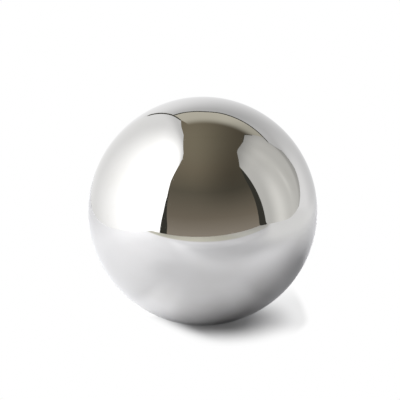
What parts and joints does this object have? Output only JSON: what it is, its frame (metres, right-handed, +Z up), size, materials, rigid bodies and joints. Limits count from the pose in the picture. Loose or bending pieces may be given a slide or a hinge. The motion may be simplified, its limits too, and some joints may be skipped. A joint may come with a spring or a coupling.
{
  "type": "steel ball",
  "caption": "Solid mirror-polished steel ball, one plain sphere with no flat, hole or seam; it rolls freely, or sits held in a ring, cup or socket.",
  "frame": {"origin": "centre of the ball", "axes": "+Z up, away from the surface under the ball; +Y away from the viewer of the picture; the ball is the same about every axis"},
  "size_m": [0.0381, 0.038, 0.0382],
  "materials": {
    "polished_steel": "mirror polished"
  },
  "bodies": {
    "root": {"steel_ball": "polished_steel"}
  },
  "joints": []
}
